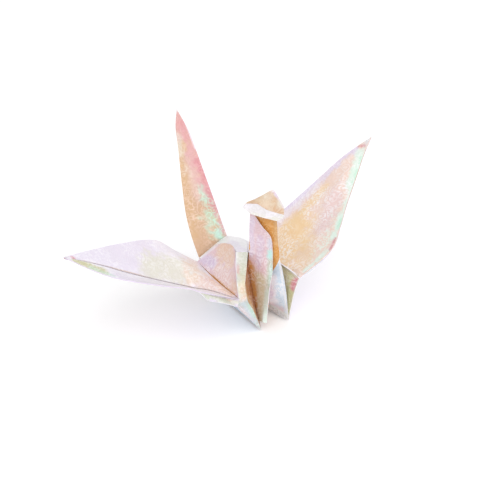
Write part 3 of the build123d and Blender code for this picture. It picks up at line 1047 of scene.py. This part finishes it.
@dataclass
class Neck:
    """The neck: two leaves joined along the spine, open forward and to the right."""

    spine: Rail = ((-2.7, -2, 22.6), (-2.85, -2, 20), (-2.9, -2, 17.4), (-3, -2, 14.6),
                   (-3, -1.7, 11), (-3.1, -1.2, 7.6), (-3.3, -0.6, 4), (-3.4, 0.4, 0.6))
    left_edge: Rail = ((-2.4, -2.9, 22.5), (-1.5, -4.2, 20.4), (-0.35, -5.1, 18.4),
                       (-0.1, -5.4, 15.2), (-0.35, -5.8, 11.5), (-1.2, -6.2, 8.4),
                       (-1.6, -6.4, 5.2), (-1.75, -6.2, 1.2))
    right_edge: Rail = ((0.72, -5.4, 21.9), (0.8, -5.5, 19.6), (0.9, -5.5, 17.6), (0.93, -5.9, 14),
                        (1.5, -6.1, 11.3), (2.05, -6.2, 7.9), (2.5, -6.1, 4.5), (2.9, -5.9, 0.1))
    strip_line: Rail = ((-1.5, -4, 14), (-1.45, -4.8, 11), (-1.5, -5.2, 7.9), (-1.9, -5.6, 4.6),
                        (-2.4, -5.8, 1.3))

    def plies(self) -> list[Ply]:
        """Lays out the neck's layers.

        Returns:
            The left leaf with its folded strip, the right leaf and its turned panel.
        """
        spine, left = self.spine, self.left_edge
        top = Ply(
            "neck_left_leaf",
            (Facet((spine[:4], left[:4])),
             Facet((((-1.5, -4, 14), (-1.45, -4.8, 11)), (left[3], left[4])), curved=False),
             Facet(((spine[3], (-1.5, -4, 14)), (left[3], left[3])), curved=False),
             Facet((spine[3:], self.strip_line)),
             Facet((self.strip_line[1:], left[4:]))),
            upper=Shade.BLUSH, under=Shade.HOLLOW_SHADE, buckle=0.06,
            tints=(
                Tint(Shade.LILAC, (-2.7, -2.4, 21.5), 0.9, 0.6, end=(-2.8, -2.2, 14), ragged=0.3),
                Tint(Shade.VIOLET, (-1.6, -3.6, 18), 1, 0.4, end=(-1.6, -3.4, 12), ragged=0.4),
                Tint(Shade.BLUE, (-0.5, -5, 17.8), 0.7, 0.6, end=(-0.4, -5.2, 14.6), ragged=0.5),
                Tint(Shade.CYAN, (-0.5, -5.1, 15.5), 0.8, 0.95, end=(-0.6, -5.2, 14.3), ragged=0.3),
                # Painted shade down the pocket between the left wall and this leaf: lighter at its
                # open side, darkening to brown towards the spine
                Tint(Shade.CREAM, (-1.7, -4.6, 8.6), 2.8, 0.95, end=(-2.1, -4.9, 2), ragged=0.1),
                Tint(Shade.BUFF, (-2.1, -3.9, 9.6), 1.9, 0.8, end=(-2.2, -4.6, 2), ragged=0.1),
                Tint(Shade.SAND, (-2.7, -2.5, 11.2), 1.15, 0.85, end=(-2.6, -3.5, 2), ragged=0.1),
                Tint(Shade.HOLLOW_SHADE, (-2.95, -1.9, 12.2), 0.9, 0.8, end=(-2.5, -3.9, 1.4),
                     ragged=0.05),
                Tint(Shade.DEEP_SHADE, (-3.05, -1.8, 11), 0.6, 0.8, end=(-2.8, -3, 1), ragged=0.05),
                Tint(Shade.DEEP_SHADE, (-2.8, -2.8, 5), 1, 0.8, end=(-2.5, -4.2, 0.9), ragged=0.05),
                Tint(Shade.BROWN, (-2.8, -3, 3.6), 0.7, 0.6, end=(-2.4, -4.8, 0.6), ragged=0.05),
                Tint(Shade.SAGE, (-0.6, -5.5, 13.4), 1, 0.95, end=(-1.2, -6, 7), ragged=0.1),
                Tint(Shade.ICE, (-1.3, -6, 7.6), 1.15, 0.95, end=(-1.9, -6.1, 1.2), ragged=0.1),
                Tint(Shade.CYAN, (-0.5, -5.6, 12.8), 0.5, 0.5, end=(-0.9, -5.9, 9), ragged=0.6),
            ),
            glints=(Glints(Shade.CYAN, (-0.4, -5.2, 15.2), 1.2, 0.5),),
        )
        turn: Rail = ((0.28, -4.6, 10.6), (-0.1, -4.6, 8.4), (0.3, -3.4, 3.6), (1.8, -1, 0.1))
        # Its upper face, inside the neck's channel, is painted orange as shade with a warm glow of
        # bounced light
        inner = Ply(
            "neck_right_leaf",
            (Facet((spine[:5], self.right_edge[:4] + (turn[0],))), Facet((spine[4:], turn))),
            upper=Shade.HOLLOW_SHADE, under=Shade.PEARL, buckle=0.05, glint_shade=Shade.AMBER,
            tints=(
                Tint(Shade.SAND, (0.6, -5.3, 21.6), 0.7, 0.7, end=(0.7, -5.5, 17), ragged=0.1),
                Tint(Shade.SAND, (-1.6, -3.4, 22), 0.9, 0.6, ragged=0.2),
                Tint(Shade.DEEP_SHADE, (0.1, -4.7, 14), 0.7, 0.5, end=(0.3, -4.6, 10.8), ragged=0.1),
                Tint(Shade.PEARL, (0, -4, 14), 6, 0.7, side=Side.UNDER),
                Tint(Shade.MINT, (0, -4, 10), 3, 0.6, side=Side.UNDER),
            ),
        )
        panel = Ply(
            "neck_turned_panel",
            (Facet((turn, self.right_edge[4:])),
             Facet(((turn[0], turn[0]), self.right_edge[3:5]), curved=False)),
            upper=Shade.BLUE, under=Shade.PEARL, buckle=0.08,
            tints=(
                Tint(Shade.PEARL, (0.1, -4.6, 9), 1.5, 0.95, end=(0.6, -3.8, 3), ragged=0.4),
                Tint(Shade.LILAC, (0, -4.6, 7.6), 1, 0.8, end=(0.4, -3.8, 5), ragged=0.5),
                Tint(Shade.CREAM, (1.4, -2.6, 1.4), 1.6, 0.7, end=(2.4, -5, 0.8), ragged=0.4),
                Tint(Shade.BLUSH, (1, -3.6, 2.6), 0.9, 0.6, end=(2.2, -5, 2), ragged=0.4),
                # Painted highlights along the ruffled right edge: a white band and white crest
                # glints
                Tint(Shade.WHITE, (0.93, -5.9, 14), 0.3, 0.9, end=(2.9, -5.9, 0.1), ragged=0.05),
            ),
            glints=(Glints(Shade.WHITE, (1.6, -5.6, 9), 1.8, 1, end=(2, -5.4, 4)),),
        )
        return [top, inner, panel]


@dataclass
class Head:
    """The head: the neck's tip turned over to the left."""

    beak: Point = (-4.96, -3.2, 25.16)

    def plies(self) -> list[Ply]:
        """Lays out the head's layers.

        Returns:
            The upper facet, the band folded over its ridge and the layer behind.
        """
        ridge: Rail = (self.beak, (-4.11, -3.2, 25.55), (-2.76, -4.5, 25.75), (-1.49, -5.6, 24.8),
                       (-0.23, -6, 24.1), (1.72, -6.05, 23))
        top: Rail = (self.beak, (-3.75, -2.9, 25.62), (-2.3, -3.2, 25.95), (0.45, -4.5, 27.85),
                     (1.25, -5.1, 26.1), (1.9, -5.6, 24.5))
        rim: Rail = (self.beak, (-4.55, -3.8, 24.65), (-4, -4.5, 24.1), (-2.2, -5.6, 23.4),
                     (0.15, -6.3, 22.35), (1.5, -6.2, 22.45))
        upper = Ply(
            "head_upper", (Facet((ridge, top), curved=False),),
            upper=Shade.TAN, under=Shade.PEARL, buckle=0.08, glint_shade=Shade.CREAM,
            tints=(
                Tint(Shade.CREAM, (-1, -4.4, 26), 2.4, 0.5),
                Tint(Shade.SAND, (-1.9, -4, 25.9), 1.4, 0.35, end=(0, -5, 25.4)),
                Tint(Shade.LILAC, (0.45, -4.5, 27.85), 0.55, 0.8, end=(1.9, -5.6, 24.5),
                     ragged=0.4),
                Tint(Shade.PEARL, (0.45, -4.5, 27.9), 0.9, 0.7),
                Tint(Shade.CREAM, (1.4, -5.5, 25.2), 1.5, 0.6, ragged=0.3),
                Tint(Shade.PEARL, (-4.9, -3.2, 25.3), 1, 0.8),
            ),
        )
        band = Ply(
            "head_band", (Facet((rim, ridge), curved=False),),
            upper=Shade.MIST, under=Shade.HOLLOW_SHADE, buckle=0.06, glint_shade=Shade.PEARL,
            tints=(
                Tint(Shade.PEARL, (-4, -3.5, 25.2), 0.6, 0.5, end=(0, -5.9, 24), ragged=0.2),
                Tint(Shade.CREAM, (-3.8, -4.4, 24.1), 0.7, 0.8, end=(0.4, -6.3, 22.5), ragged=0.3),
                Tint(Shade.CREAM, (1.2, -6.1, 22.8), 1.2, 0.5),
            ),
        )
        behind = Ply(
            "head_back_layer",
            (Facet((((-2.7, -1.9, 22.3), (-2.95, -2.3, 25.2)),
                    ((1, -5.2, 21.8), (0.4, -4.3, 27.5))), curved=False),
             Facet((((1, -5.2, 21.8), (0.4, -4.3, 27.5)),
                    ((1.7, -5.8, 22.4), (1.8, -5.4, 24.4))), curved=False)),
            upper=Shade.PEARL, under=Shade.HOLLOW_SHADE, thickness=0.14, buckle=0.08,
            tints=(Tint(Shade.PEACH, (-1, -3.4, 24.6), 2, 0.8),),
        )
        return [upper, band, behind]


@dataclass
class Tail:
    """The tail: two leaves joined along the spine, open to the back."""

    left_edge: Rail = ((-3, 24.3, 30.4), (-4.1, 22.8, 27.8), (-4.6, 21, 24.2), (-5.9, 17.4, 19),
                       (-6.7, 14.5, 14.2), (-7.1, 11, 10.2), (-6.2, 8, 4.8), (-4, 6.4, 0))
    spine: Rail = ((-3, 24.3, 30.4), (-2, 21.6, 26.7), (-1.8, 19, 23.5), (-1.75, 16, 20.1),
                   (-1.7, 13, 16.7), (-1.6, 8.5, 11.4), (-0.8, 4.6, 6), (0, 1.8, 2.4))
    far_edge: Rail = ((-3, 24.3, 30.4), (-3, 23.8, 26.9), (-3.2, 22.6, 22.9), (-3.9, 19.8, 17.1),
                      (-4.2, 17.4, 11.9), (-3, 14.2, 7.7), (1, 9.5, 3.6), (4, 6.4, 0))

    def plies(self) -> list[Ply]:
        """Lays out the tail's leaves.

        Returns:
            The near leaf with its pink and mint film, and the far leaf.
        """
        near = Ply(
            "tail_left_leaf", (Facet((self.left_edge, self.spine)),),
            upper=Shade.TAN, under=Shade.LILAC, thickness=0.16, buckle=0.16, glint_shade=Shade.NACRE,
            tints=(
                Tint(Shade.PINK, (-3, 24, 29.9), 2.6, 0.8, end=(-3.2, 22.4, 27.2), ragged=0.4),
                Tint(Shade.ROSE, (-2.6, 22.4, 27.8), 1.4, 0.5, end=(-2.5, 21.2, 26), ragged=0.5),
                Tint(Shade.PINK, (-2.4, 21.8, 27), 1.6, 0.6, end=(-2.2, 20.4, 25), ragged=0.5),
                Tint(Shade.CREAM, (-4.3, 22, 26.2), 1.3, 0.5, end=(-4.6, 20.6, 24), ragged=0.5),
                Tint(Shade.BLUSH, (-3.4, 18.6, 22.2), 2.2, 0.4, end=(-3.6, 15, 17.6), ragged=0.6),
                Tint(Shade.SAND, (-5.2, 19, 21.6), 1.9, 0.5, end=(-6.9, 12, 11.4), ragged=0.4),
                Tint(Shade.PINK, (-2, 19.4, 23.6), 2.5, 0.75, end=(-1.8, 13, 16.6), ragged=0.4),
                Tint(Shade.ROSE, (-1.9, 18, 22.2), 1.3, 0.75, end=(-1.7, 13.4, 17.2), ragged=0.4),
                Tint(Shade.MINT, (-3.1, 15.2, 18.2), 0.7, 0.6, end=(-3, 13.6, 16), ragged=1.3),
                Tint(Shade.MINT, (-2.6, 11.8, 13.8), 2.2, 0.55, end=(-2.3, 9, 10.8), ragged=0.9),
                Tint(Shade.CYAN, (-2.2, 11, 13.2), 1.3, 0.7, end=(-2.2, 9.6, 11.8), ragged=1.2),
                Tint(Shade.PINK, (-1.8, 14.4, 18.2), 1.2, 0.9, end=(-1.55, 9, 12), ragged=0.5),
                Tint(Shade.ROSE, (-1.75, 15, 19), 0.8, 0.5, end=(-1.7, 12, 15.4), ragged=0.5),
                Tint(Shade.MIST, (-3, 24.3, 30.4), 0.8, 0.8, ragged=0.1),
                Tint(Shade.PEARL, (-2.1, 22.4, 28), 0.3, 0.8, end=(-1.8, 19.6, 24.2), ragged=0.1),
                Tint(Shade.PEACH, (-4, 14, 15), 4, 0.7, side=Side.UNDER),
                Tint(Shade.MINT, (-3.6, 19, 22), 2, 0.6, side=Side.UNDER),
            ),
            glints=(
                Glints(Shade.CREAM, (-3.9, 20.6, 24), 1.6, 0.9, end=(-4.4, 18, 20.6)),
                Glints(Shade.MINT, (-3, 16, 19.2), 1.4, 1, end=(-2.6, 9, 11.4)),
                Glints(Shade.PINK, (-2.6, 23.4, 29), 2.4, 0.9, end=(-1.9, 15, 19)),
            ),
        )
        far = Ply(
            "tail_right_leaf", (Facet((self.far_edge, self.spine)),),
            upper=Shade.CREAM, under=Shade.LILAC, thickness=0.16, buckle=0.16,
            tints=(
                Tint(Shade.BLUSH, (0.4, 16, 18), 3.4, 0.7, side=Side.BOTH),
                Tint(Shade.MINT, (1, 19.4, 22.6), 1.8, 0.6, side=Side.BOTH),
            ),
            glints=(Glints(Shade.MINT, (1.4, 13, 14), 4, 0.7),),
        )
        return [near, far]


@dataclass
class PaperCrane:
    """The whole folded sheet."""

    name: str = "folded_crane_paper"
    finish: PearlPaper = PearlPaper()
    first_seed: float = 11.0
    seed_step: float = 1.7

    def build(self) -> bpy.types.Object:
        """Makes every ply and joins them into the one piece.

        Returns:
            The piece, riding on the root and standing for the CAD node.
        """
        mill = PaperMill(self.finish.material())
        seed = self.first_seed
        for part in (LeftWing(), RightWing(), Body(), Neck(), Head(), Tail()):
            plies = part.plies()
            for ply in plies:
                mill.make(ply, seed)
                seed += self.seed_step
            LOG.info("%s: %d plies", type(part).__name__, len(plies))
        piece = mill.join(self.name)
        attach(piece, "root")
        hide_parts("folded_crane")
        LOG.info("%s: %d faces", piece.name, len(piece.data.polygons))
        return piece


@dataclass(frozen=True)
class Lamp:
    """A soft square lamp: its place and side in metres, and its power in watts."""

    name: str
    place: Point
    side: float
    power: float


@dataclass
class Studio:
    """Camera, lamps, floor and world; lengths in metres, the sensor and lens in millimetres."""

    distance: float = 0.42
    azimuth: float = 30.0
    elevation: float = 35.0
    lens: float = 166.32
    sensor: float = 36.0
    shift: tuple[float, float] = (-0.016, 0.1166)
    clip: tuple[float, float] = (0.01, 10.0)
    lamps: tuple[Lamp, ...] = (Lamp("key", (-0.05, -0.5, 0.6), 0.8, 3.0),
                               Lamp("fill", (-0.5, -0.1, 0.4), 0.5, 0.24))
    aim: Point = (0.0, 0.0, 0.012)
    world_strength: float = 0.74
    floor_half: float = 1.5
    floor_drop: float = 0.0001
    floor_white: float = 0.97
    floor_lift: float = 0.12

    def camera(self) -> None:
        """Sets up the camera at the photograph's angle."""
        turn, tilt = math.radians(self.azimuth), math.radians(self.elevation)
        right = Vector((math.cos(turn), -math.sin(turn), 0.0))
        ahead = Vector((math.sin(turn) * math.cos(tilt), math.cos(turn) * math.cos(tilt),
                        -math.sin(tilt)))
        data = bpy.data.cameras.new("camera")
        data.lens = self.lens
        data.sensor_width = self.sensor
        data.shift_x, data.shift_y = self.shift
        data.clip_start, data.clip_end = self.clip
        camera = bpy.data.objects.new("camera", data)
        axes = Matrix((right, right.cross(ahead), -ahead)).transposed().to_4x4()
        place = FOLD_ORIGIN * MM - ahead * self.distance
        camera.matrix_world = Matrix.Translation(place) @ axes
        bpy.context.scene.collection.objects.link(camera)
        bpy.context.scene.camera = camera

    def light(self, lamp: Lamp) -> None:
        """Sets up a lamp that faces the crane.

        Args:
            lamp: the lamp.
        """
        data = bpy.data.lights.new(lamp.name, "AREA")
        data.size = lamp.side
        data.energy = lamp.power
        light = bpy.data.objects.new(lamp.name, data)
        light.location = lamp.place
        way = Vector(self.aim) - Vector(lamp.place)
        light.rotation_euler = way.to_track_quat("-Z", "Y").to_euler()
        bpy.context.scene.collection.objects.link(light)

    def floor(self) -> None:
        """Lays a plain white floor that keeps the crane's shadow."""
        material = bpy.data.materials.new("studio floor")
        material.use_nodes = True
        wire = Wiring(material.node_tree)
        path = wire.add("ShaderNodeLightPath").outputs["Is Camera Ray"]
        wire.fill(material.node_tree.nodes["Principled BSDF"], {
            "Base Color": (self.floor_white,) * 3 + (1.0,), "Roughness": 1.0,
            "Specular IOR Level": 0.0, "Emission Color": PURE_WHITE,
            "Emission Strength": wire.math("MULTIPLY", path, self.floor_lift)})
        mesh = bpy.data.meshes.new("studio_floor")
        half = self.floor_half
        mesh.from_pydata([(-half, -half, 0), (half, -half, 0), (half, half, 0), (-half, half, 0)],
                         [], [(0, 1, 2, 3)])
        mesh.materials.append(material)
        floor = bpy.data.objects.new("studio_floor", mesh)
        floor.location = (0, 0, -self.floor_drop)
        bpy.context.scene.collection.objects.link(floor)

    def world(self) -> None:
        """Sets up an even soft light that shows as plain white to the camera."""
        world = bpy.data.worlds.new("studio")
        world.use_nodes = True
        bpy.context.scene.world = world
        nodes = world.node_tree.nodes
        wire = Wiring(world.node_tree)
        wire.fill(nodes["Background"], {"Color": PURE_WHITE, "Strength": self.world_strength})
        seen = wire.add("ShaderNodeBackground", {"Color": PURE_WHITE, "Strength": 1.0})
        mix = wire.add("ShaderNodeMixShader", {
            "Fac": wire.add("ShaderNodeLightPath").outputs["Is Camera Ray"],
            1: nodes["Background"].outputs["Background"], 2: seen.outputs["Background"]})
        wire.fill(nodes["World Output"], {"Surface": mix.outputs["Shader"]})

    def build(self) -> None:
        """Sets up the whole studio."""
        bpy.context.scene.view_settings.view_transform = "Standard"
        self.camera()
        for lamp in self.lamps:
            self.light(lamp)
        self.floor()
        self.world()


def main() -> None:
    """Builds the crane and its studio and writes how large the result is."""
    logging.basicConfig(level=logging.INFO, format="%(name)s: %(message)s")
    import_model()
    PaperCrane().build()
    Studio().build()


if __name__ == "__main__":
    main()
